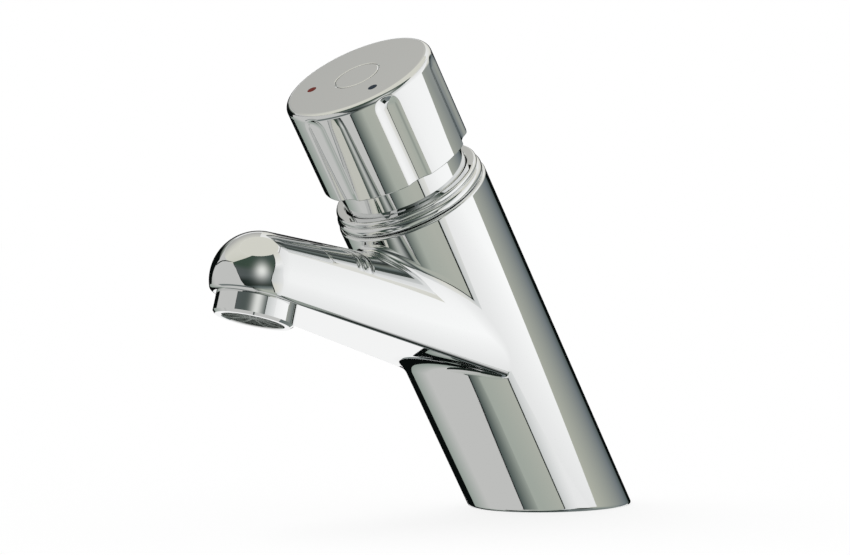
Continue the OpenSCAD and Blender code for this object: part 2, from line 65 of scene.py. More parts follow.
REACH = 129.4
OUTLET_BELOW_SHOULDER = 23.0
OUTLET_H = POST_LEN * cos(LEAN) - POST_R * sin(LEAN) - OUTLET_BELOW_SHOULDER
OUTLET_TILT = radians(16.2)
NOSE_R = 14.35
NOSE_LEAD = 0.9
NOSE_DROP = 5.7
SPOUT_TILT = radians(14.3)
SPOUT_INSET = 0.9
CREASE_R = 0.4
NOSE_CREASE_R = 1.8
CREASE_FROM = -7.0
CREASE_TO = 5.0

AERATOR_R = 11.9
AERATOR_DROP = 6.15
AERATOR_CHAMFER = 0.8
AERATOR_EDGE = 0.25
NECK_R = 11.2
NECK_LEN = 5.0
AERATOR_BORE_R = 10.0
INSERT_GAP = 0.05
INSERT_LIP = 0.8
INSERT_T = 4.0
INSERT_RIBS = 12
RIB_T = 0.8
RIB_ROUND = 0.12
INSERT_HUB_R = 2.5
HUB_EDGE = 0.4

SLEEVE_R = 19.7
SLEEVE_BORE_R = 17.7
SLEEVE_BEARING_R = 12.05
SLEEVE_FLANGE_T = 3.0
SLEEVE_FLOOR_T = 4.0
SLEEVE_TOP = 145.5
COLLAR_R = 23.6
COLLAR_BORE_R = 19.95
BEAD_R = 1.6
LIP_R = 0.95
COLLAR_H = 5.0
COLLAR_EDGE = 0.3
SKIRT_LEN = 7.3

KNOB_R = 23.4
KNOB_BORE_R = 20.2
KNOB_BOTTOM = 130.3
KNOB_H = 29.8
KNOB_CROWN = KNOB_BOTTOM + KNOB_H
KNOB_TOP_T = 6.6
KNOB_RIM = 2.0
FLUTES = 6
FLUTE_R = 7.5
FLUTE_DEPTH = 1.2
FLUTE_STOP = 1.0
BADGE_R = 7.0
BADGE_T = 1.5
BADGE_INSET = 0.05
RECESS_GAP = 0.1
BADGE_GROOVE = 0.3
GROOVE_DEPTH = 0.13
DOT_R = 1.45
DOT_T = 0.8
DOT_CROWN = 0.12
DOT_RING_R = 14.8
DOT_ANGLE = radians(60.0)

# Directions: along the leaning body, to its front, across, along the spout and along the outlet
UP = np.array([0.0, -sin(LEAN), cos(LEAN)])
FRONT = np.array([0.0, -cos(LEAN), -sin(LEAN)])
ACROSS = np.array([1.0, 0.0, 0.0])
TIP = np.array([0.0, -cos(SPOUT_TILT), sin(SPOUT_TILT)])
RIDGE = np.array([0.0, sin(SPOUT_TILT), cos(SPOUT_TILT)])
JET_UP = np.array([0.0, sin(OUTLET_TILT), cos(OUTLET_TILT)])
JET_FRONT = np.array([0.0, -cos(OUTLET_TILT), sin(OUTLET_TILT)])
OUTLET = np.array([0.0, -REACH, OUTLET_H])
NOSE = OUTLET + NOSE_LEAD * JET_FRONT + (AERATOR_DROP + NOSE_DROP) * JET_UP
SPOUT_LEN = (-NOSE[1] - tan(LEAN) * NOSE[2]) / (cos(SPOUT_TILT) - tan(LEAN) * sin(SPOUT_TILT))
SPOUT_END_R = POST_R - SPOUT_INSET
FLARE = acos(NOSE_R / hypot(SPOUT_END_R, SPOUT_LEN)) - atan2(SPOUT_LEN, SPOUT_END_R)

# An angle below NO_ANGLE counts as none; points in one weld cell, so many to a millimetre, become one
NO_ANGLE = 1e-6
WELD_CELLS = 2000


def unit(v):
    return v / np.linalg.norm(v, axis=-1, keepdims=True)


def slerp(a, b, share):
    """Unit vector the given share of the way from a to b."""
    angle = acos(max(-1.0, min(1.0, float(a @ b))))
    if angle < NO_ANGLE:
        return a
    return (sin((1 - share) * angle) * a + sin(share * angle) * b) / sin(angle)


def arc(centre, radius, start, end, steps):
    """Points of a round stretch of an outline, angles in degrees."""
    angles = np.radians(np.linspace(start, end, steps + 1))
    return [(centre[0] + radius * cos(a), centre[1] + radius * sin(a)) for a in angles]


def mirrored(grids):
    """The grids and their mirror images across the middle plane."""
    flip = np.array([-1.0, 1.0, 1.0])
    return grids + [(points * flip, normals * flip) for points, normals in grids]


def shell(name, grids, fans=()):
    """One welded mesh from grids of points with normals; sharp edges come from grids that differ there."""
    points, normals, corners = [], [], []
    start = 0
    for grid, normal in grids:
        rows, cols = grid.shape[:2]
        index = start + np.arange(rows * cols).reshape(rows, cols)
        quads = np.stack([index[:-1, :-1], index[1:, :-1], index[1:, 1:], index[:-1, 1:]], axis=-1)
        corners += quads.reshape(-1, 4).tolist()
        points.append(grid.reshape(-1, 3))
        normals.append(normal.reshape(-1, 3))
        start += rows * cols
    for loop, normal in fans:
        corners.append(list(range(start, start + len(loop))))
        points.append(loop)
        normals.append(np.tile(normal, (len(loop), 1)))
        start += len(loop)
    points = np.concatenate(points)
    normals = unit(np.concatenate(normals))
    keys = np.round(points * WELD_CELLS).astype(np.int64)
    _, first, weld = np.unique(keys, axis=0, return_index=True, return_inverse=True)
    weld = weld.reshape(-1)
    faces, loop_normals = [], []
    for quad in corners:
        kept = [k for n, k in enumerate(quad) if weld[k] != weld[quad[n - 1]]]
        if len({int(weld[k]) for k in kept}) < 3:
            continue
        p = points[kept]
        facing = np.cross(p[1] - p[0], p[2] - p[0]) + np.cross(p[2] - p[0], p[-1] - p[0])
        if facing @ normals[kept].sum(axis=0) < 0:
            kept = kept[::-1]
        faces.append([int(weld[k]) for k in kept])
        loop_normals += normals[kept].tolist()
    mesh = bpy.data.meshes.new(name)
    mesh.from_pydata((points[first] * MM).tolist(), [], faces, shade_flat=False)
    mesh.normals_split_custom_set(loop_normals)
    return link(name, mesh)


def link(name, mesh):
    thing = bpy.data.objects.new(name, mesh)
    bpy.context.scene.collection.objects.link(thing)
    return thing


def turned(outline, origin, axis, front, steps=128, sharp=35):
    """Mesh of a closed outline of (radius, height) points turned about an axis."""
    side = np.cross(axis, front)
    angles = np.arange(steps) * 2 * pi / steps
    ring = np.cos(angles)[:, None] * front + np.sin(angles)[:, None] * side
    points, rows = [], []
    for radius, height in outline:
        circle = origin + height * axis + (radius * ring if radius > 0 else np.zeros((1, 3)))
        rows.append(len(points) + np.arange(steps) % len(circle))
        points += circle.tolist()
    faces = []
    for a, b in zip(rows, rows[1:] + rows[:1]):
        for k in range(steps):
            n = (k + 1) % steps
            corners = dict.fromkeys(int(c) for c in (a[k], a[n], b[n], b[k]))
            if len(corners) > 2:
                faces.append(list(corners))
    mesh = bpy.data.meshes.new("turned")
    mesh.from_pydata((np.array(points) * MM).tolist(), [], faces, shade_flat=False)
    mesh.set_sharp_from_angle(angle=radians(sharp))
    return mesh


# The body: a post and a ball-ended spout that run into each other through a fillet

# Rows run from the middle of the spout's underside over its edge and side to the ridge
FLAT_ROWS = 26
CREASE_ROWS = 6
ROUND_ROWS = 30
ROWS = FLAT_ROWS + CREASE_ROWS + ROUND_ROWS
NOSE_COLS = 30
SIDE_COLS = 36
FILLET_STEPS = 20
SKIN_STEPS = 16
BACK_COLS = 28
FOOT_STEPS = 6
SHOULDER_STEPS = 6
HALVINGS = 48
FILLET_MIDDLE = 14.0
FILLET_FADE = 1.5
FILLET_UNDER = 4.5
FILLET_TOP = 1.3
FILLET_SWELL = 5.5
FILLET_SWELL_END = 0.62
FOOT_ROUND = 1.35
FOOT_ROUND_SWING = 0.85

# The post's front half ends at this angle; its foot runs up to the first row and its shoulder from the last
SEAM_ANGLE = radians(100)
SEAM_FIRST = FLAT_ROWS + 2
SEAM_LAST = FLAT_ROWS + CREASE_ROWS + 18


def round_cone(p):
    """Distance of a point outside the uncut spout, and the spout's normal there."""
    rel = p - NOSE
    back = -float(rel @ TIP)
    off = rel + back * TIP
    radial = float(np.linalg.norm(off))
    if back * cos(FLARE) + radial * sin(FLARE) < 0:
        return float(np.linalg.norm(rel)) - NOSE_R, unit(rel)
    return radial * cos(FLARE) - back * sin(FLARE) - NOSE_R, cos(FLARE) * off / radial + sin(FLARE) * TIP


def bisect(test, low, high):
    """Where test turns from negative to positive."""
    for _ in range(HALVINGS):
        middle = (low + high) / 2
        if test(middle) < 0:
            low = middle
        else:
            high = middle
    return (low + high) / 2


def crease_radius(behind):
    """Radius of the edge round the flat underside: full round the nose, small soon behind it."""
    share = min(1, max(0, (behind - CREASE_FROM) / (CREASE_TO - CREASE_FROM)))
    return NOSE_CREASE_R + (CREASE_R - NOSE_CREASE_R) * share ** 2 * (3 - 2 * share)


def under_point(middle, edge, normal, r, row):
    """Point and normal on the flat underside, or on the rounding from there to the round side."""
    if row <= FLAT_ROWS:
        return middle + (edge - r * JET_UP - middle) * row / FLAT_ROWS, -JET_UP
    n = slerp(-JET_UP, normal, (row - FLAT_ROWS) / CREASE_ROWS)
    return edge + r * n, n


def side_point(row, back):
    """Point and normal on one row of the spout's half section, so far behind the nose ball's centre."""
    r = crease_radius(back)
    axis_point = NOSE - back * TIP
    ring_r = (NOSE_R - r) / cos(FLARE) + back * tan(FLARE)
    flat = (back * (TIP @ JET_UP) - NOSE_DROP) / (RIDGE @ JET_UP)
    low = asin((flat + r / (RIDGE @ JET_UP)) / ring_r)
    angle = low + (pi / 2 - low) * max(0, row - FLAT_ROWS - CREASE_ROWS) / ROUND_ROWS
    radial = cos(angle) * ACROSS + sin(angle) * RIDGE
    normal = cos(FLARE) * radial + sin(FLARE) * TIP
    p = axis_point + ring_r * radial
    if row < FLAT_ROWS + CREASE_ROWS:
        return under_point(axis_point + flat * RIDGE, p, normal, r, row)
    return p + r * normal, normal


def nose_point(row, azimuth):
    """The same on the nose, on a half section turned from straight ahead towards the side."""
    r = crease_radius((azimuth - pi / 2) * NOSE_R)
    middle = NOSE - NOSE_DROP / (RIDGE @ JET_UP) * RIDGE
    heel = middle + r / (RIDGE @ JET_UP) * RIDGE
    ahead = sin(azimuth) * ACROSS + cos(azimuth) * JET_FRONT
    run = bisect(lambda d: round_cone(heel + d * ahead)[0] + r, 0, 2 * NOSE_R)
    edge = heel + run * ahead
    if row < FLAT_ROWS + CREASE_ROWS:
        return under_point(middle, edge, round_cone(edge)[1], r, row)
    way = slerp(unit(edge - NOSE), RIDGE, (row - FLAT_ROWS - CREASE_ROWS) / ROUND_ROWS)
    run = bisect(lambda d: round_cone(NOSE + d * way)[0] + r, 0, 2 * NOSE_R)
    p = NOSE + run * way
    normal = round_cone(p)[1]
    return p + r * normal, normal


def fillet_radius(row):
    """Tight under the shoulder, fuller below, and fullest low on the flanks and under the spout's middle."""
    if row < FLAT_ROWS:
        return FILLET_MIDDLE + (FILLET_UNDER - FILLET_MIDDLE) * (row / FLAT_ROWS) ** FILLET_FADE
    share = max(0, row - FLAT_ROWS - CREASE_ROWS) / ROUND_ROWS
    plain = FILLET_UNDER + (FILLET_TOP - FILLET_UNDER) * share
    return plain + FILLET_SWELL * sin(pi * min(1, share / FILLET_SWELL_END)) ** 2


def post_side(p):
    """Distance of a point outside the post, and the post's normal there."""
    off = p - (p @ UP) * UP
    radial = float(np.linalg.norm(off))
    return radial - POST_R, off / radial


def fillet_ball(row):
    """How far back a row of the spout runs before the fillet starts, and the fillet ball's centre there."""
    r = fillet_radius(row)

    def gap(back):
        p, n = side_point(row, back)
        return r - post_side(p + r * n)[0]

    back = bisect(gap, NOSE_R, SPOUT_LEN)
    p, n = side_point(row, back)
    return back, p + r * n, n, r


def on_post(angle, level):
    """Point on the post, or grid of points, from the angle to its front and the level along its axis."""
    angle = np.asarray(angle)[..., None]
    level = np.asarray(level)[..., None]
    normal = np.cos(angle) * FRONT + np.sin(angle) * ACROSS
    return POST_R * normal + level * UP, normal


def foot_round(angle):
    """Radius of the foot's polished edge, fuller at the front than at the sharp back."""
    return FOOT_ROUND + FOOT_ROUND_SWING * np.cos(angle)


def foot_level(angle):
    """Level where the post's side runs into the rounded edge of its foot."""
    r = foot_round(angle)
    return (r + (POST_R - r) * np.cos(angle) * sin(LEAN)) / cos(LEAN)


def seam_path():
    """The outline of the post's front half, in angle and level, row by row from the foot to the shoulder."""
    top = POST_LEN - SHOULDER_ROUND
    foot = float(foot_level(SEAM_ANGLE))
    path = []
    for row in range(ROWS + 1):
        if row <= SEAM_FIRST:
            angle = SEAM_ANGLE * row / SEAM_FIRST
            path.append((angle, float(foot_level(angle))))
        elif row <= SEAM_LAST:
            path.append((SEAM_ANGLE, foot + (top - foot) * (row - SEAM_FIRST) / (SEAM_LAST - SEAM_FIRST)))
        else:
            path.append((SEAM_ANGLE * (ROWS - row) / (ROWS - SEAM_LAST), top))
    return np.array(path)


def body_skin():
    """Grids of the body's outside, one half."""
    rows = range(ROWS + 1)
    balls = [fillet_ball(row) for row in rows]
    nose = [[nose_point(row, pi / 2 * c / NOSE_COLS) for row in rows] for c in range(NOSE_COLS + 1)]
    side = [[side_point(row, balls[row][0] * c / SIDE_COLS) for row in rows] for c in range(SIDE_COLS + 1)]
    fillet = []
    for step in range(FILLET_STEPS + 1):
        line = []
        for back, centre, normal, r in balls:
            n = slerp(normal, post_side(centre)[1], step / FILLET_STEPS)
            line.append((centre - r * n, n))
        fillet.append(line)
    grids = []
    for part in (nose, side, fillet):
        points = np.array([[p for p, _ in line] for line in part])
        normals = np.array([[n for _, n in line] for line in part])
        grids.append((points, normals))

    ring = np.array([p for p, _ in fillet[-1]])
    start = np.stack([np.arctan2(ring @ ACROSS, ring @ FRONT), ring @ UP], axis=-1)
    seam = seam_path()
    share = np.linspace(0, 1, SKIN_STEPS + 1)[:, None, None]
    front_half = start + (seam - start) * share
    grids.append(on_post(front_half[..., 0], front_half[..., 1]))

    side_levels = seam[SEAM_FIRST:SEAM_LAST + 1, 1]
    climb = (side_levels - side_levels[0]) / (side_levels[-1] - side_levels[0])
    angles = np.linspace(SEAM_ANGLE, pi, BACK_COLS + 1)
    foot = foot_level(angles)[:, None]
    levels = foot + (POST_LEN - SHOULDER_ROUND - foot) * climb
    grids.append(on_post(np.broadcast_to(angles[:, None], levels.shape), levels))
    rim_angles = np.concatenate([seam[SEAM_LAST:, 0][::-1], angles[1:]])
    foot_angles = np.concatenate([seam[:SEAM_FIRST + 1, 0], angles[1:]])
    return grids, rim_angles, foot_angles


def ring_of(angles, radius, level):
    normal = np.cos(angles)[:, None] * FRONT + np.sin(angles)[:, None] * ACROSS
    return radius * normal + level * UP, normal


def body_mouth(angles):
    """Shoulder, collar thread and cartridge pocket, one half, on the shoulder's own angles."""
    grids = []
    turns = np.radians(np.linspace(0, 90, SHOULDER_STEPS + 1))
    points, normals = [], []
    for turn in turns:
        p, n = ring_of(angles, POST_R - SHOULDER_ROUND + SHOULDER_ROUND * cos(turn),
                       POST_LEN - SHOULDER_ROUND + SHOULDER_ROUND * sin(turn))
        points.append(p)
        normals.append(cos(turn) * n + sin(turn) * UP)
    grids.append((np.array(points), np.array(normals)))
    steps = [
        (POST_R - SHOULDER_ROUND, POST_LEN), (THREAD_R, POST_LEN), (THREAD_R, SLEEVE_LEVEL),
        (POCKET_R, SLEEVE_LEVEL), (POCKET_R, POST_LEN - POCKET_DEPTH), (0.0, POST_LEN - POCKET_DEPTH),
    ]
    for (r0, h0), (r1, h1) in zip(steps, steps[1:]):
        a, radial = ring_of(angles, r0, h0)
        b, _ = ring_of(angles, r1, h1)
        normal = np.tile(UP, (len(angles), 1)) if h0 == h1 else -radial
        grids.append((np.array([a, b]), np.array([normal, normal])))
    return grids


BASE_SEAL_T = 1.5
SEAL_OUT_R = 22.25
PORT_X = 9.0
PORT_Y = -5.0
PORT_R = 5.0
PORT_DEPTH = 14.0
PASSAGE_R = 4.0
PASSAGE_TOP = 22.0
STUD_Y = 8.5
STUD_R = 4.0
STUD_DEPTH = 14.0
BORE_STEPS = 48
DOWN = np.array([0.0, 0.0, -1.0])


def stepped_bore(x, y, steps):
    """Walls and ledges of a hole in the foot, from (radius, height) steps."""
    angles = np.linspace(0, 2 * pi, BORE_STEPS + 1)
    ring = np.stack([np.cos(angles), np.sin(angles), np.zeros_like(angles)], axis=-1)
    grids = []
    for (r0, z0), (r1, z1) in zip(steps, steps[1:]):
        normal = np.tile(DOWN, (len(angles), 1)) if z0 == z1 else -ring
        pair = [np.array([x, y, z]) + r * ring for r, z in ((r0, z0), (r1, z1))]
        grids.append((np.array(pair), np.array([normal, normal])))
    return grids


def filled(loops):
    """Triangles of a level face with holes, looking down."""
    face = bmesh.new()
    edges = []
    for loop in loops:
        verts = [face.verts.new(p) for p in loop]
        edges += [face.edges.new((a, b)) for a, b in zip(verts, verts[1:] + verts[:1])]
    bmesh.ops.triangle_fill(face, use_beauty=True, edges=edges, normal=DOWN)
    triangles = [(np.array([v.co[:] for v in f.verts]), DOWN) for f in face.faces]
    face.free()
    return triangles


def body_foot(angles):
    """Edge of the foot and the hollow under it, one half, then the threaded holes and the hollow's floor."""
    side, wall = on_post(angles, foot_level(angles))
    r = foot_round(angles)[:, None]
    turn = [np.array([slerp(n, DOWN, step / FOOT_STEPS) for n in wall]) for step in range(FOOT_STEPS + 1)]
    bend = np.array([side + r * (n - wall) for n in turn])
    rim = bend[-1]
    flat = unit(rim * [1, 1, 0])
    down = np.tile(DOWN, (len(angles), 1))
    edge = SEAL_OUT_R * flat
    floor = edge - BASE_SEAL_T * down
    half = [(bend, np.array(turn)), (np.array([rim, edge]), np.array([down, down]))]
    half.append((np.array([edge, floor]), np.array([-flat, -flat])))
    port = [(PORT_R, BASE_SEAL_T), (PORT_R, PORT_DEPTH), (PASSAGE_R, PORT_DEPTH), (PASSAGE_R, PASSAGE_TOP),
            (0, PASSAGE_TOP)]
    stud = [(STUD_R, BASE_SEAL_T), (STUD_R, STUD_DEPTH), (0, STUD_DEPTH)]
    holes = [stepped_bore(side * PORT_X, PORT_Y, port) for side in (-1, 1)] + [stepped_bore(0, STUD_Y, stud)]
    loops = [np.concatenate([floor, floor[-2:0:-1] * [-1, 1, 1]])]
    loops += [hole[0][0][0][:-1] for hole in holes]
    return half, sum(holes, []), filled(loops)


def make_body():
    skin, rim_angles, foot_angles = body_skin()
    foot, holes, floor = body_foot(foot_angles)
    return shell("tap_body_shell", mirrored(skin + body_mouth(rim_angles) + foot) + holes, floor)


# The knob: a rounded drum with ball-ended flutes

FLUTE_EDGE = 0.5
KNOB_FOOT_ROUND = 0.35
FLUTE_AXIS_R = KNOB_R + FLUTE_R - FLUTE_DEPTH
FLUTE_REACH = sqrt(FLUTE_R ** 2 - (FLUTE_R - FLUTE_DEPTH) ** 2)
FLUTE_END = KNOB_H - FLUTE_STOP - FLUTE_REACH

# Columns from a flute's middle to its edge, over the edge and on to the halfway line, then rows up the side
EDGE_SPAN = radians(2.2)
FLUTE_COLS = (12, 20, 12)
KNOB_FOOT_STEPS = 6
KNOB_WALL_STEPS = 9
FLUTE_END_STEPS = 35
KNOB_RIM_STEPS = 24
TINY = 1e-5


def flute_radius(angle, level):
    """Radius of the knob's side where a flute cuts it; far out where none does."""
    pitch = 2 * pi / FLUTES
    off = (angle + pitch / 2) % pitch - pitch / 2
    section = FLUTE_R ** 2 - np.maximum(level - FLUTE_END, 0) ** 2
    room = section - (FLUTE_AXIS_R * np.sin(off)) ** 2
    return np.where(room > 0, FLUTE_AXIS_R * np.cos(off) - np.sqrt(np.maximum(room, 0)), 2 * KNOB_R)


def knob_radius(angle, level):
    """Radius of the fluted and rounded drum."""
    top = np.maximum(level - KNOB_H + KNOB_RIM, 0)
    drum = KNOB_R - KNOB_RIM + np.sqrt(np.maximum(KNOB_RIM ** 2 - top ** 2, 0))
    cut = flute_radius(angle, level)
    blend = np.maximum(FLUTE_EDGE - np.abs(drum - cut), 0)
    foot = np.maximum(KNOB_FOOT_ROUND - level, 0)
    inset = KNOB_FOOT_ROUND - np.sqrt(np.maximum(KNOB_FOOT_ROUND ** 2 - foot ** 2, 0))
    return np.minimum(drum, cut) - blend ** 2 / FLUTE_EDGE / 4 - inset


def knob_angles():
    """Columns round the knob, close together at the flutes' edges."""
    half = asin(FLUTE_REACH / (KNOB_R - FLUTE_DEPTH))
    pitch = 2 * pi / FLUTES
    stops = [0, half - EDGE_SPAN, half + EDGE_SPAN, pitch / 2]
    part = np.concatenate([np.linspace(a, b, n, endpoint=False)
                           for a, b, n in zip(stops, stops[1:], FLUTE_COLS)])
    turn = np.concatenate([part, [pitch / 2], pitch - part[:0:-1]])
    return np.concatenate([turn + i * pitch for i in range(FLUTES)] + [[2 * pi]])


def knob_levels():
    """Rows up the knob, close together at its roundings and at the flutes' ends."""
    foot_turns = np.radians(np.linspace(0, 90, KNOB_FOOT_STEPS + 1))
    foot = KNOB_FOOT_ROUND * (1 - np.cos(foot_turns))
    wall = np.linspace(KNOB_FOOT_ROUND, FLUTE_END - FLUTE_REACH / 2, KNOB_WALL_STEPS + 1)[1:]
    ends = np.linspace(wall[-1], KNOB_H - KNOB_RIM, FLUTE_END_STEPS + 1)[1:]
    rim_turns = np.radians(np.linspace(0, 90, KNOB_RIM_STEPS + 1))
    rim = KNOB_H - KNOB_RIM + KNOB_RIM * np.sin(rim_turns)
    return np.concatenate([foot, wall, ends, rim[1:]])


def make_knob():
    angles = knob_angles()
    levels = np.clip(knob_levels(), 2 * TINY, KNOB_H - 2 * TINY)
    a, h = np.meshgrid(angles, levels)
    radius = knob_radius(a, h)
    around = (knob_radius(a + TINY, h) - knob_radius(a - TINY, h)) / (2 * TINY) / radius
    upward = (knob_radius(a, h + TINY) - knob_radius(a, h - TINY)) / (2 * TINY)
    out = np.cos(a)[..., None] * FRONT + np.sin(a)[..., None] * ACROSS
    along = -np.sin(a)[..., None] * FRONT + np.cos(a)[..., None] * ACROSS
    side = radius[..., None] * out + (KNOB_BOTTOM + h)[..., None] * UP
    normal = out - around[..., None] * along - upward[..., None] * UP
    grids = [(side, normal)]

    recess = BADGE_R + RECESS_GAP
    bore = [(KNOB_R, 0.0), (KNOB_BORE_R, 0.0), (KNOB_BORE_R, KNOB_H - KNOB_TOP_T), (0.0, KNOB_H - KNOB_TOP_T)]
    crown = [(KNOB_R, KNOB_H), (recess + BADGE_GROOVE, KNOB_H), (recess, KNOB_H - GROOVE_DEPTH)]
    crown += [(recess, KNOB_H - BADGE_T), (0.0, KNOB_H - BADGE_T)]
    for ring, steps, facing in ((side[0], bore, -1), (side[-1], crown, 1)):
        for (r0, h0), (r1, h1) in zip(steps, steps[1:]):
            follow = r1 * out[0] + (KNOB_BOTTOM + h1) * UP
            wall = facing * ((h1 - h0) * out[0] - (r1 - r0) * UP)
            grids.append((np.array([ring, follow]), np.array([wall, wall])))
            ring = follow
    return shell("push_knob_shell", grids)


# Turned and moulded pieces

BEAD_STEPS = 28
LIP_STEPS = 24
BADGE_SHARP = 10


def make_collar():
    """Ring with a full bead below and a small lip bead above it, and the threaded skirt inside the post."""
    mid = COLLAR_R - BEAD_R
    lip_mid = COLLAR_H - LIP_R
    pitch = lip_mid - BEAD_R
    meet = (BEAD_R ** 2 - LIP_R ** 2 + pitch ** 2) / (2 * pitch)
    low = degrees(asin(meet / BEAD_R))
    high = degrees(asin((meet - pitch) / LIP_R))
    skirt_r = THREAD_R - THREAD_GAP
    outline = [(COLLAR_BORE_R, -SKIRT_LEN), (skirt_r, -SKIRT_LEN), (skirt_r, 0.0)]
    outline += arc((mid, BEAD_R), BEAD_R, -90, low, BEAD_STEPS)
    outline += arc((mid, lip_mid), LIP_R, high, 90, LIP_STEPS)
    outline += [(COLLAR_BORE_R + COLLAR_EDGE, COLLAR_H), (COLLAR_BORE_R, COLLAR_H - COLLAR_EDGE)]
    return link("collar_ring", turned(outline, POST_LEN * UP, UP, FRONT))


def make_sleeve():
    """Tube that the knob slides over, with its foot flange and the floor that bears the drive cap."""
    flange_r = THREAD_R - THREAD_GAP
    flange_top = SLEEVE_LEVEL + SLEEVE_FLANGE_T
    floor_top = SLEEVE_LEVEL + SLEEVE_FLOOR_T
    outline = [
        (SLEEVE_BEARING_R, SLEEVE_LEVEL), (flange_r, SLEEVE_LEVEL), (flange_r, flange_top),
        (SLEEVE_R, flange_top), (SLEEVE_R, SLEEVE_TOP), (SLEEVE_BORE_R, SLEEVE_TOP),
        (SLEEVE_BORE_R, floor_top), (SLEEVE_BEARING_R, floor_top),
    ]
    return link("sleeve_tube", turned(outline, 0 * UP, UP, FRONT))


def make_aerator_housing():
    """Short cup with a chamfered mouth, an inner lip that carries the insert and a neck up into the spout."""
    lip_r = AERATOR_BORE_R - INSERT_LIP
    neck_top = AERATOR_DROP + NECK_LEN
    outline = [
        (lip_r, AERATOR_EDGE), (lip_r + AERATOR_EDGE, 0), (AERATOR_R - AERATOR_CHAMFER, 0),
        (AERATOR_R, AERATOR_CHAMFER), (AERATOR_R, AERATOR_DROP), (NECK_R, AERATOR_DROP), (NECK_R, neck_top),
        (AERATOR_BORE_R, neck_top), (AERATOR_BORE_R, INSERT_LIP), (lip_r, INSERT_LIP),
    ]
    return link("aerator_ring", turned(outline, OUTLET, JET_UP, JET_FRONT))


def make_badge():
    """Disc in the knob's crown, with its half of the groove round it."""
    edge = BADGE_R - BADGE_INSET
    outline = [
        (0.0, -BADGE_T), (edge, -BADGE_T), (edge, -GROOVE_DEPTH), (edge - BADGE_GROOVE, 0.0), (0.0, 0.0),
    ]
    return link("knob_centre_disc", turned(outline, KNOB_CROWN * UP, UP, FRONT, sharp=BADGE_SHARP))


def make_dot(name, side):
    """Pressed-in mark with a low crown, on the hot side (-1) or the cold side (1)."""
    outline = [(0.0, -DOT_T), (DOT_R, -DOT_T), (DOT_R, 0.0)]
    crown_turns = np.radians(np.linspace(15, 90, 6))
    outline += [(DOT_R * cos(a), DOT_CROWN * sin(a)) for a in crown_turns]
    place = cos(DOT_ANGLE) * FRONT + side * sin(DOT_ANGLE) * ACROSS
    return link(name, turned(outline, DOT_RING_R * place + KNOB_CROWN * UP, UP, FRONT, steps=40))


def make_aerator_insert():
    """Rim, hub and the ribs between them."""
    rim_r = AERATOR_BORE_R - INSERT_GAP
    base = OUTLET + INSERT_LIP * JET_UP
    rim = [(rim_r - INSERT_LIP, 0), (rim_r, 0), (rim_r, INSERT_T), (rim_r - INSERT_LIP, INSERT_T)]
    hub = [
        (0, 0), (INSERT_HUB_R - HUB_EDGE, 0), (INSERT_HUB_R, HUB_EDGE),
        (INSERT_HUB_R, INSERT_T), (0, INSERT_T),
    ]
    mesh = bmesh.new()
    mesh.from_mesh(turned(rim, base, JET_UP, JET_FRONT, steps=96))
    mesh.from_mesh(turned(hub, base, JET_UP, JET_FRONT, steps=48))
    length = rim_r - INSERT_LIP / 2 - INSERT_HUB_R / 2
    middle = INSERT_HUB_R / 2 + length / 2
    for i in range(INSERT_RIBS):
        angle = 2 * pi * i / INSERT_RIBS
        way = cos(angle) * JET_FRONT + sin(angle) * ACROSS
        cross = np.cross(JET_UP, way)
        place = base + middle * way + INSERT_T / 2 * JET_UP
        turn = np.stack([length * way, RIB_T * cross, INSERT_T * JET_UP], axis=-1) * MM
        matrix = Matrix.Translation(place * MM) @ Matrix(turn.tolist()).to_4x4()
        cube = bmesh.ops.create_cube(mesh, size=1, matrix=matrix)
        edges = list(dict.fromkeys(e for v in cube["verts"] for e in v.link_edges))
        bmesh.ops.bevel(mesh, geom=edges, offset=RIB_ROUND * MM, segments=2, affect="EDGES", profile=0.5)
    data = bpy.data.meshes.new("aerator_ribs")
    mesh.to_mesh(data)
    mesh.free()
    return link("aerator_ribs", data)


SPRING_R = 9.5
WIRE_R = 0.7
SPRING_TURNS = 8
SPRING_FOOT = 117.5
SPRING_TOP = KNOB_CROWN - KNOB_TOP_T
SPRING_ROOM = 0.1
TURN_STEPS = 32
WIRE_STEPS = 10


def make_spring():
    """Coil of round wire from the drive cap up to the knob's ceiling."""
    turn = np.linspace(0, 2 * pi * SPRING_TURNS, TURN_STEPS * SPRING_TURNS + 1)[:, None, None]
    side = np.linspace(0, 2 * pi, WIRE_STEPS + 1)[:, None]
    out = np.cos(turn) * FRONT + np.sin(turn) * ACROSS
    normal = np.cos(side) * out + np.sin(side) * UP
    edge = WIRE_R + SPRING_ROOM
    level = np.linspace(SPRING_FOOT + edge, SPRING_TOP - edge, len(turn))[:, None, None]
    points = SPRING_R * out + level * UP + WIRE_R * normal
    ends = [(points[0, :-1], -ACROSS), (points[-1, :-1], ACROSS)]
    return shell("return_coil", [(points, normal)], ends)


# Materials

def linear(code):
    """Linear colour of an sRGB hex value."""
    parts = [int(code[i:i + 2], 16) / 255 for i in (1, 3, 5)]
    return [p / 12.92 if p <= 0.04045 else ((p + 0.055) / 1.055) ** 2.4 for p in parts] + [1.0]


def add(tree, kind, links=None, **settings):
    """A node with its settings, and its inputs as values or as sockets to link."""
    node = tree.nodes.new(kind)
    for key, value in settings.items():
        setattr(node, key, value)
    for key, value in (links or {}).items():
        if isinstance(value, bpy.types.NodeSocket):
            tree.links.new(value, node.inputs[key])
        else:
            node.inputs[key].default_value = value
    return node


def blank(name):
    material = bpy.data.materials.new(name)
    material.use_nodes = True
    material.node_tree.nodes.clear()
    return material, material.node_tree


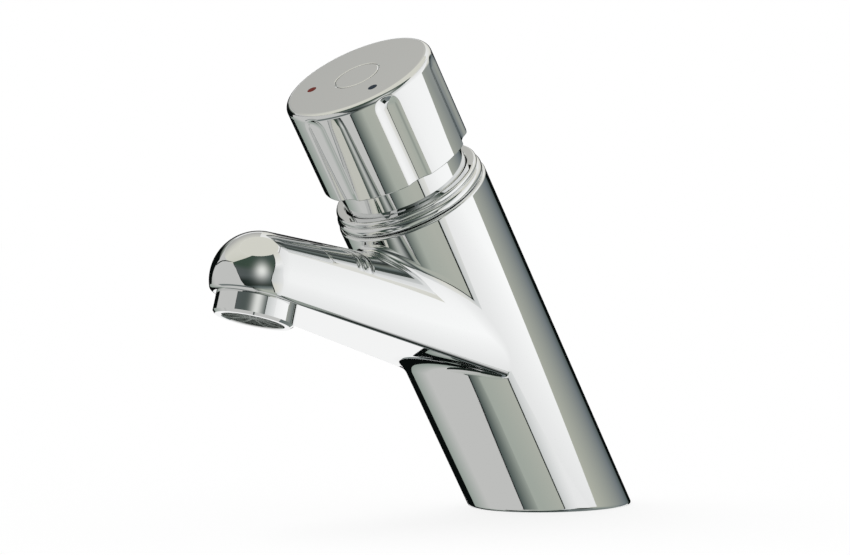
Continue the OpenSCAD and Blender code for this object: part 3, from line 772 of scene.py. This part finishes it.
def polished_chrome():
    """Chromium plate on polished brass: a clear mirror with faint wiping marks about 18 mm across."""
    material, tree = blank("polished_chrome_plate")
    place = add(tree, "ShaderNodeTexCoord").outputs["Object"]
    smear = add(tree, "ShaderNodeTexNoise", {"Vector": place, "Scale": 1 / (18 * MM), "Detail": 4.0})
    gloss = add(tree, "ShaderNodeMapRange", {
        "Value": smear.outputs["Fac"], "From Min": 0.35, "From Max": 0.75, "To Min": 0.015, "To Max": 0.05,
    })
    shader = add(tree, "ShaderNodeBsdfPrincipled", {
        "Base Color": linear("#E9EAEA"), "Metallic": 1.0, "Roughness": gloss.outputs["Result"],
    })
    add(tree, "ShaderNodeOutputMaterial", {"Surface": shader.outputs["BSDF"]})
    return material


# This scale draws a turning ring every 1.26 mm, coarser than real ones, so that the rings show
RING_SCALE = 250.0


def turned_brass():
    """Machined brass: warm yellow metal with turning rings about the body's axis."""
    material, tree = blank("turned_brass")
    place = add(tree, "ShaderNodeTexCoord").outputs["Object"]
    along = add(tree, "ShaderNodeMapping", {"Vector": place, "Rotation": (-LEAN, 0, 0)})
    rings = add(tree, "ShaderNodeTexWave", {
        "Vector": along.outputs["Vector"], "Scale": RING_SCALE, "Distortion": 0.6,
    }, bands_direction="Z")
    tone = add(tree, "ShaderNodeMix", {
        "Factor": rings.outputs["Fac"], "A": linear("#C39A55"), "B": linear("#B08744"),
    }, data_type="RGBA")
    ridge = add(tree, "ShaderNodeBump", {
        "Height": rings.outputs["Fac"], "Strength": 0.15, "Distance": 0.02 * MM,
    })
    shader = add(tree, "ShaderNodeBsdfPrincipled", {
        "Base Color": tone.outputs["Result"], "Metallic": 1.0, "Roughness": 0.28,
        "Normal": ridge.outputs["Normal"],
    })
    add(tree, "ShaderNodeOutputMaterial", {"Surface": shader.outputs["BSDF"]})
    return material


def drawn_stainless():
    """Drawn stainless steel wire and turned pins: a grey sheen with fine streaks."""
    material, tree = blank("drawn_stainless")
    place = add(tree, "ShaderNodeTexCoord").outputs["Object"]
    streaks = add(tree, "ShaderNodeTexNoise", {"Vector": place, "Scale": 1 / (0.8 * MM), "Detail": 3.0})
    tone = add(tree, "ShaderNodeMix", {
        "Factor": streaks.outputs["Fac"], "A": linear("#BDBDBA"), "B": linear("#CDCDCB"),
    }, data_type="RGBA")
    gloss = add(tree, "ShaderNodeMapRange", {"Value": streaks.outputs["Fac"], "To Min": 0.22, "To Max": 0.38})
    shader = add(tree, "ShaderNodeBsdfPrincipled", {
        "Base Color": tone.outputs["Result"], "Metallic": 1.0, "Roughness": gloss.outputs["Result"],
    })
    add(tree, "ShaderNodeOutputMaterial", {"Surface": shader.outputs["BSDF"]})
    return material


MOTTLE_GRAINS = 6


def moulded(name, dark, light, grain, rough, ior, shine=0.5):
    """A moulded part in one colour, with a faint mottle and the mould's fine grain, in millimetres."""
    material, tree = blank(name)
    place = add(tree, "ShaderNodeTexCoord").outputs["Object"]
    mottle = add(tree, "ShaderNodeTexNoise", {
        "Vector": place, "Scale": 1 / (MOTTLE_GRAINS * grain * MM), "Detail": 3.0,
    })
    pores = add(tree, "ShaderNodeTexNoise", {"Vector": place, "Scale": 1 / (grain * MM), "Detail": 2.0})
    tone = add(tree, "ShaderNodeMix", {
        "Factor": mottle.outputs["Fac"], "A": linear(dark), "B": linear(light),
    }, data_type="RGBA")
    gloss = add(tree, "ShaderNodeMapRange", {
        "Value": mottle.outputs["Fac"], "To Min": rough[0], "To Max": rough[1],
    })
    dents = add(tree, "ShaderNodeBump", {
        "Height": pores.outputs["Fac"], "Strength": 0.2, "Distance": 0.02 * MM,
    })
    shader = add(tree, "ShaderNodeBsdfPrincipled", {
        "Base Color": tone.outputs["Result"], "Roughness": gloss.outputs["Result"], "IOR": ior,
        "Specular IOR Level": shine, "Normal": dents.outputs["Normal"],
    })
    add(tree, "ShaderNodeOutputMaterial", {"Surface": shader.outputs["BSDF"]})
    return material


FINISHES = {
    "chrome": polished_chrome(),
    "brass": turned_brass(),
    "stainless": drawn_stainless(),
    # Nitrile rubber: near black and dull
    "rubber": moulded("nitrile_rubber", "#191919", "#232323", 0.4, (0.6, 0.8), 1.52),
    # Lapped alumina: an off-white with a soft gloss
    "ceramic": moulded("lapped_alumina", "#E6E3DB", "#F1EFEA", 0.3, (0.12, 0.2), 1.76),
    # Moulded acetal: a green-grey with a satin skin
    "grey_plastic": moulded("moulded_acetal", "#666D68", "#787F7A", 0.3, (0.32, 0.45), 1.48),
    # Pressed-in marks of coloured acrylic: small, deep in colour, with a matt face
    "red_plastic": moulded("red_acrylic", "#5A1A12", "#6E2218", 0.3, (0.5, 0.65), 1.49, shine=0.12),
    "blue_plastic": moulded("blue_acrylic", "#16222E", "#1E2C3A", 0.3, (0.5, 0.65), 1.49, shine=0.12),
}


# The pieces in place of their solids, and the finish of the solids that stay

def dress(piece, node, body, finish):
    piece.data.materials.append(FINISHES[finish])
    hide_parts(node)
    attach(piece, body)


for subpart in frame["record"]["subparts"]:
    for held in frame["nodes"][subpart["node"]].material_slots:
        held.material = FINISHES[subpart["material_slot"]]

dress(make_body(), "body", "tap_body", "chrome")
dress(make_collar(), "collar", "tap_body", "chrome")
dress(make_sleeve(), "guide_sleeve", "tap_body", "chrome")
dress(make_aerator_housing(), "aerator_housing", "tap_body", "chrome")
dress(make_aerator_insert(), "aerator_insert", "tap_body", "grey_plastic")
dress(make_knob(), "knob", "push_knob", "chrome")
dress(make_badge(), "knob_badge", "push_knob", "chrome")
dress(make_dot("hot_mark", -1), "hot_dot", "push_knob", "red_plastic")
dress(make_dot("cold_mark", 1), "cold_dot", "push_knob", "blue_plastic")
coil = make_spring()
dress(coil, "return_spring", "selector", "stainless")
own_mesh(coil)


# Camera, floor and studio

AZIMUTH = radians(43.384)
ELEVATION = radians(1.462)
DISTANCE = 0.8913
TARGET = Vector((0, -0.045, 0.070))
LENS_MM = 122.3
SHIFT = (-0.0343, 0.0133)
FILL = 0.6
KEY_FROM = Vector((-0.35, -0.45, 1.0))
KEY_SPREAD = 50.0
FLOOR_HALF = 6.0
FLOOR_GLOW = 0.8
CLIP_START = 0.05


def aim_camera():
    back = Vector((sin(AZIMUTH) * cos(ELEVATION), -cos(AZIMUTH) * cos(ELEVATION), sin(ELEVATION)))
    data = bpy.data.cameras.new("photo_camera")
    data.lens = LENS_MM
    data.shift_x, data.shift_y = SHIFT
    data.clip_start = CLIP_START
    camera = bpy.data.objects.new("photo_camera", data)
    camera.location = TARGET + DISTANCE * back
    camera.rotation_euler = back.to_track_quat("Z", "Y").to_euler()
    bpy.context.scene.collection.objects.link(camera)
    bpy.context.scene.camera = camera


def seen_straight(tree):
    """1 where the camera, a reflection or a clear view sees the surface, 0 where it only lights others."""
    path = add(tree, "ShaderNodeLightPath").outputs
    two = add(tree, "ShaderNodeMath", {
        0: path["Is Camera Ray"], 1: path["Is Glossy Ray"],
    }, operation="MAXIMUM")
    three = add(tree, "ShaderNodeMath", {
        0: two.outputs[0], 1: path["Is Transmission Ray"],
    }, operation="MAXIMUM")
    return three.outputs[0]


def white_world():
    """A white surround that lights the tap softly from all sides."""
    world = bpy.data.worlds.new("white_surround")
    world.use_nodes = True
    tree = world.node_tree
    tree.nodes.clear()
    strength = add(tree, "ShaderNodeMapRange", {"Value": seen_straight(tree), "To Min": FILL, "To Max": 1.0})
    glow = add(tree, "ShaderNodeBackground", {
        "Color": linear("#FFFFFF"), "Strength": strength.outputs["Result"],
    })
    add(tree, "ShaderNodeOutputWorld", {"Surface": glow.outputs["Background"]})
    bpy.context.scene.world = world


def white_floor():
    """A matt white sheet that keeps a faint shadow."""
    material, tree = blank("white_paper")
    paper = add(tree, "ShaderNodeBsdfDiffuse", {"Color": linear("#FFFFFF")})
    glow = add(tree, "ShaderNodeEmission", {"Color": linear("#FFFFFF"), "Strength": 1.0})
    share = add(tree, "ShaderNodeMapRange", {
        "Value": seen_straight(tree), "To Min": 0.0, "To Max": FLOOR_GLOW,
    })
    both = add(tree, "ShaderNodeMixShader", {
        "Fac": share.outputs["Result"], 1: paper.outputs["BSDF"], 2: glow.outputs["Emission"],
    })
    add(tree, "ShaderNodeOutputMaterial", {"Surface": both.outputs["Shader"]})
    corners = [(x * FLOOR_HALF, y * FLOOR_HALF, 0) for x, y in ((-1, -1), (1, -1), (1, 1), (-1, 1))]
    mesh = bpy.data.meshes.new("white_floor")
    mesh.from_pydata(corners, [], [(0, 1, 2, 3)])
    mesh.materials.append(material)
    floor = link("white_floor", mesh)
    floor.visible_glossy = False


def soft_sun():
    """A broad soft light from over the camera's left, out of the reflections, for the faint shadow."""
    data = bpy.data.lights.new("key_light", "SUN")
    data.angle = radians(KEY_SPREAD)
    data.energy = pi * (1 - FILL) / KEY_FROM.normalized().z
    lamp = bpy.data.objects.new("key_light", data)
    lamp.rotation_euler = KEY_FROM.to_track_quat("Z", "Y").to_euler()
    lamp.visible_glossy = False
    bpy.context.scene.collection.objects.link(lamp)


# Studio cards round the tap, which show only as reflections in the chrome

TENT_R = 2500.0
TENT_CENTRE = np.array([0.0, -60.0, 70.0])
CARD_ROWS = 12
CARD_COLS = 24

# Tones of the cards, from the studio's white to its darkest corner
WHITE = "#FFFFFF"
SOFT_WHITE = "#FBFBFB"
DULL_WHITE = "#D3D6D5"
CREAM = "#E3E2D8"
STONE = "#D4D3CD"
PALE = "#CFCFCD"
BEIGE = "#C7C9BA"
CLAY = "#BBBEB4"
ASH = "#B2B2B0"
GREEN_GREY = "#AEB5AC"
MIST = "#9AA19B"
SAGE = "#93A097"
LEAD = "#788084"
SLATE = "#757E7D"
SMOKE = "#5A6060"
DIM = "#4A5654"
BOTTLE = "#3F5045"
DUSK = "#333C36"
SHADE = "#1E2622"
BLACK = "#0A0E0D"


def card_painted_glow():
    """The cards' plain glow in their painted tones, which stand in for the studio's light and shade, shaded
    from end to end.
    """
    material, tree = blank("card_painted_glow")
    tone = add(tree, "ShaderNodeAttribute", attribute_name="tone")
    glow = add(tree, "ShaderNodeEmission", {"Color": tone.outputs["Color"], "Strength": 1.0})
    add(tree, "ShaderNodeOutputMaterial", {"Surface": glow.outputs["Emission"]})
    return material


# Painted light: the cards glow in tones that stand in for the studio's lit and shaded walls, and light
# nothing else
PAINTED_GLOW = card_painted_glow()


def card(name, points, tones):
    """A sheet from a grid of points with a grid of tones, which only reflections see."""
    rows, cols = points.shape[:2]
    index = np.arange(rows * cols).reshape(rows, cols)
    faces = np.stack([index[:-1, :-1], index[:-1, 1:], index[1:, 1:], index[1:, :-1]], axis=-1)
    mesh = bpy.data.meshes.new(name)
    mesh.from_pydata((points.reshape(-1, 3) * MM).tolist(), [], faces.reshape(-1, 4).tolist())
    paint = mesh.color_attributes.new("tone", "FLOAT_COLOR", "POINT")
    paint.data.foreach_set("color", tones.reshape(-1))
    mesh.materials.append(PAINTED_GLOW)
    thing = link(name, mesh)
    for ray in ("camera", "diffuse", "transmission", "volume_scatter", "shadow"):
        setattr(thing, "visible_" + ray, False)


def spread(ends):
    """Values over a sheet, from rows that each give the values at the sheet's two ends."""
    place = np.linspace(0, len(ends) - 1, CARD_ROWS * (len(ends) - 1) + 1)
    below = np.minimum(place.astype(int), len(ends) - 2)
    line = ends[below] + (ends[below + 1] - ends[below]) * (place - below)[:, None, None]
    across = np.linspace(0, 1, CARD_COLS + 1)[:, None]
    return line[:, :1] + (line[:, 1:] - line[:, :1]) * across


def far_card(name, rows, tone=None, nearer=0, glow=None):
    """A far card from its foot up, in one tone or with a tone for each end of a row.

    A row is an elevation, then the azimuths of the card's two ends there and their tones. Azimuths run in
    degrees from the spout's direction towards the cold side."""
    if tone:
        rows = [row + (tone, tone) for row in rows]
    sheet = spread(np.array([[[row[end], row[0]] + linear(row[end + 2]) for end in (1, 2)] for row in rows]))
    azimuth = np.radians(sheet[..., 0])
    elevation = np.radians(sheet[..., 1])
    level = np.cos(elevation)
    out = np.stack([level * np.sin(azimuth), -level * np.cos(azimuth), np.sin(elevation)], axis=-1)
    tones = sheet[..., 2:]
    if glow:
        middle, width, light = glow
        off = (sheet[..., :2] - middle) / width
        tones = tones + np.exp(-(off ** 2).sum(axis=-1))[..., None] * np.array(linear(light))
    card(name, TENT_CENTRE + (TENT_R - nearer) * out, tones)


def left_cards():
    """A pale wall on the hot side and, behind it, a black gap that runs round the back at the horizon."""
    far_card("card_left", [(-66, -70, 30), (32, -70, 30)], PALE)
    far_card("card_left_edge", [(-66, -106, -70, SAGE, PALE), (-4, -106, -70, SAGE, PALE),
                                (6, -107, -70, PALE, PALE), (32, -112, -70, PALE, PALE)])
    far_card("card_left_top", [(32, -135, -95, ASH, ASH), (58, -135, -95, STONE, CREAM)])
    far_card("card_left_high", [(32, -95, -60, ASH, CREAM), (58, -95, -60, CREAM, CREAM)])
    far_card("card_left_beam", [(32, -60, 30, CREAM, BEIGE), (58, -60, 30, CREAM, CREAM)])
    far_card("card_left_rail", [(15, -83, -79), (22, -73, -69), (26, -66, -62), (30, -56, -50),
                                (32.5, -45, -38), (34.5, -30, -26)], SHADE, nearer=180)
    # A band of painted shade low on the hot side, which the collar's beads show as dark lines
    far_card("card_low_shade_band", [(-38, -62, 28, PALE, SLATE), (-31, -62, 30, SLATE, SMOKE),
                               (-20, -62, 34, SLATE, SMOKE), (-13, -62, 22, PALE, SLATE)], nearer=150)
    far_card("card_gap_low", [(-66, -122, -106), (-25, -124, -102), (-14, -124, -106)], BLACK, nearer=100)
    far_card("card_gap", [(-4, -114, -90, BLACK, BLACK), (22, -108, -79, BLACK, BLACK),
                          (30, -114, -88, GREEN_GREY, GREEN_GREY)], nearer=100)
    far_card("card_horizon", [(-14, -166, -106, BLACK, BLACK), (17, -166, -108, BLACK, BLACK),
                              (27, -166, -108, PALE, PALE)], nearer=100)


def front_cards():
    """The dark opening that the camera looks through, with a soft glow in it, and the floor before it."""
    glow_middle = np.array([54, 23])
    glow_width = np.array([16.5, 18])
    glow = (glow_middle, glow_width, "#EAE8E5")
    far_card("card_opening", [(-10, 15, 78, SHADE, DUSK), (1, 6, 74, SHADE, DIM), (12, 0, 77, SMOKE, DIM),
                              (24, -10, 84, SMOKE, BOTTLE), (34, -27, 90, BOTTLE, BOTTLE),
                              (58, 20, 103, BOTTLE, DIM)], nearer=200, glow=glow)
    far_card("card_front_edge", [(-66, 10, 52, DIM, GREEN_GREY), (-58.5, 28, 54, DIM, GREEN_GREY),
                                 (-54, 32, 55, DIM, GREEN_GREY), (-52.8, 25, 50, DIM, GREEN_GREY),
                                 (-36, 27, 50, DIM, CLAY), (-22, 33, 56, SHADE, GREEN_GREY),
                                 (-15, 25, 50, SHADE, SLATE), (-10, 15, 45, SHADE, DIM)], nearer=200)
    far_card("card_front_floor", [(-66, 52, 102, GREEN_GREY, GREEN_GREY),
                                  (-52.8, 50, 95, GREEN_GREY, GREEN_GREY), (-36, 50, 89, CLAY, CLAY),
                                  (-22, 56, 84, GREEN_GREY, CLAY), (-15, 50, 80, SLATE, SLATE),
                                  (-10, 45, 78, DIM, DUSK)], nearer=200)
    far_card("card_front_seam", [(-66, 9, 11), (-58.5, 27, 29), (-54, 31, 33), (-52.8, 24, 26), (-36, 26, 28),
                                 (-22, 32, 34), (-15, 24, 26), (-10, 14.5, 15.5), (12, -0.5, 0.5),
                                 (24, -10.5, -9.5), (34, -27.6, -25.6)], BLACK, nearer=250)
    far_card("card_front_line", [(-50, 92.6, 94.4), (-36, 88.1, 89.9), (-22, 82.5, 85.5), (-10, 77, 79),
                                 (1, 73, 75), (12, 76, 78), (24, 83, 85), (34, 89, 91), (58, 102, 104)],
             SHADE, nearer=250)


def right_cards():
    """A broad white wall on the cold side, a little dimmer beside the opening."""
    far_card("card_right_edge", [(-50, 93.5, 106, DULL_WHITE, SOFT_WHITE),
                                 (-36, 89, 103, DULL_WHITE, SOFT_WHITE),
                                 (-29, 86.5, 105, DULL_WHITE, SOFT_WHITE), (-22, 84, 107, CREAM, SOFT_WHITE),
                                 (-10, 78, 110, CREAM, SOFT_WHITE), (1, 74, 110, DULL_WHITE, SOFT_WHITE),
                                 (12, 77, 110, DULL_WHITE, SOFT_WHITE), (24, 84, 116, DULL_WHITE, SOFT_WHITE),
                                 (34, 90, 122, SOFT_WHITE, WHITE), (58, 103, 126, CREAM, CREAM)], nearer=150)
    far_card("card_right_foot", [(-36, 103, 118), (-29, 105, 119.5)], MIST, nearer=150)
    far_card("card_right", [(-29, 105, 119.5, SOFT_WHITE, SOFT_WHITE), (-10, 110, 124, SOFT_WHITE, WHITE),
                            (12, 110, 126, SOFT_WHITE, WHITE), (34, 122, 130, WHITE, WHITE),
                            (58, 126, 132, CREAM, CREAM)], nearer=150)


def back_cards():
    """A warm grey wall behind the tap, darker towards the hot side."""
    far_card("card_back", [(-28, 118, 180, BEIGE, LEAD), (12, 118, 180, BEIGE, LEAD),
                           (26, 118, 180, CREAM, CREAM)])
    far_card("card_back_dim", [(-28, 180, 196, LEAD, DIM), (12, 180, 196, LEAD, DIM),
                               (26, 180, 200, CREAM, CREAM)])
    far_card("card_back_high", [(26, 118, 226, CREAM, CREAM), (58, 118, 226, SOFT_WHITE, SOFT_WHITE)])


UNDER_OUTLET_X = (-30.0, 40.0)
UNDER_OUTLET_Y = (-170.0, -90.0)
UNDER_OUTLET_Z = -20.0


def over_and_under():
    """A cream ceiling, a ground pale to the front and dark behind, and a pale sheet under the outlet."""
    far_card("card_ceiling", [(58, -180, 180), (90, -180, 180)], CREAM)
    sheet = [[(x, y, UNDER_OUTLET_Z) for x in UNDER_OUTLET_X] for y in UNDER_OUTLET_Y]
    card("card_under_outlet", np.array(sheet), np.tile(linear(PALE), (2, 2, 1)))
    far_card("card_under", [(-90, -180, 180), (-66, -180, 180)], SHADE)
    far_card("card_under_front", [(-86, -60, 110, PALE, GREEN_GREY),
                                  (-66, -60, 110, PALE, GREEN_GREY)], nearer=50)
    far_card("card_under_back", [(-66, 95, 236, LEAD, DIM), (-28, 112, 236, GREEN_GREY, SLATE)])
    far_card("card_under_side", [(-52, 106, 134, SHADE, SHADE), (-33, 112, 132, SHADE, SHADE),
                                 (-30, 113, 132, SOFT_WHITE, SOFT_WHITE)], nearer=100)


SCREEN_REAR = np.array([125.0, 70.0, 0.0])
SCREEN_RUN = np.array([366.0, -225.0, 0.0])
SCREEN_RISE = np.array([0.0, 0.0, 1.0])
RAIL_FOOT = 401.0
RAIL_TOP = 412.0
RAIL_GREY = 0.2


def white_screen():
    """A bright screen close by on the cold side, with a grey rail along its top.

    Its rear edge draws the line down the back of the body. Each end's rows are a place along the run, a
    height and a brightness."""
    rear = [(0.0, -35.0, 0.95), (0.0, 70.0, 1.16), (0.0, 130.0, 1.12), (-0.25, 400.0, 0.88)]
    rear += [(-0.25, RAIL_FOOT, RAIL_GREY), (-0.25, RAIL_TOP, RAIL_GREY)]
    front = [(0.5, -107.0, 0.95), (0.5, 70.0, 1.0), (0.5, 130.0, 1.0), (0.2, 400.0, 0.88)]
    front += [(0.2, RAIL_FOOT, RAIL_GREY), (0.2, RAIL_TOP, RAIL_GREY)]
    sheet = spread(np.stack([rear, front], axis=1))
    points = SCREEN_REAR + sheet[..., :1] * SCREEN_RUN + sheet[..., 1:2] * SCREEN_RISE
    card("card_white_screen", points, np.repeat(sheet[..., 2:], 4, axis=-1))


left_cards()
front_cards()
right_cards()
back_cards()
over_and_under()
white_screen()
aim_camera()
white_world()
white_floor()
soft_sun()
bpy.context.scene.view_settings.view_transform = "Standard"
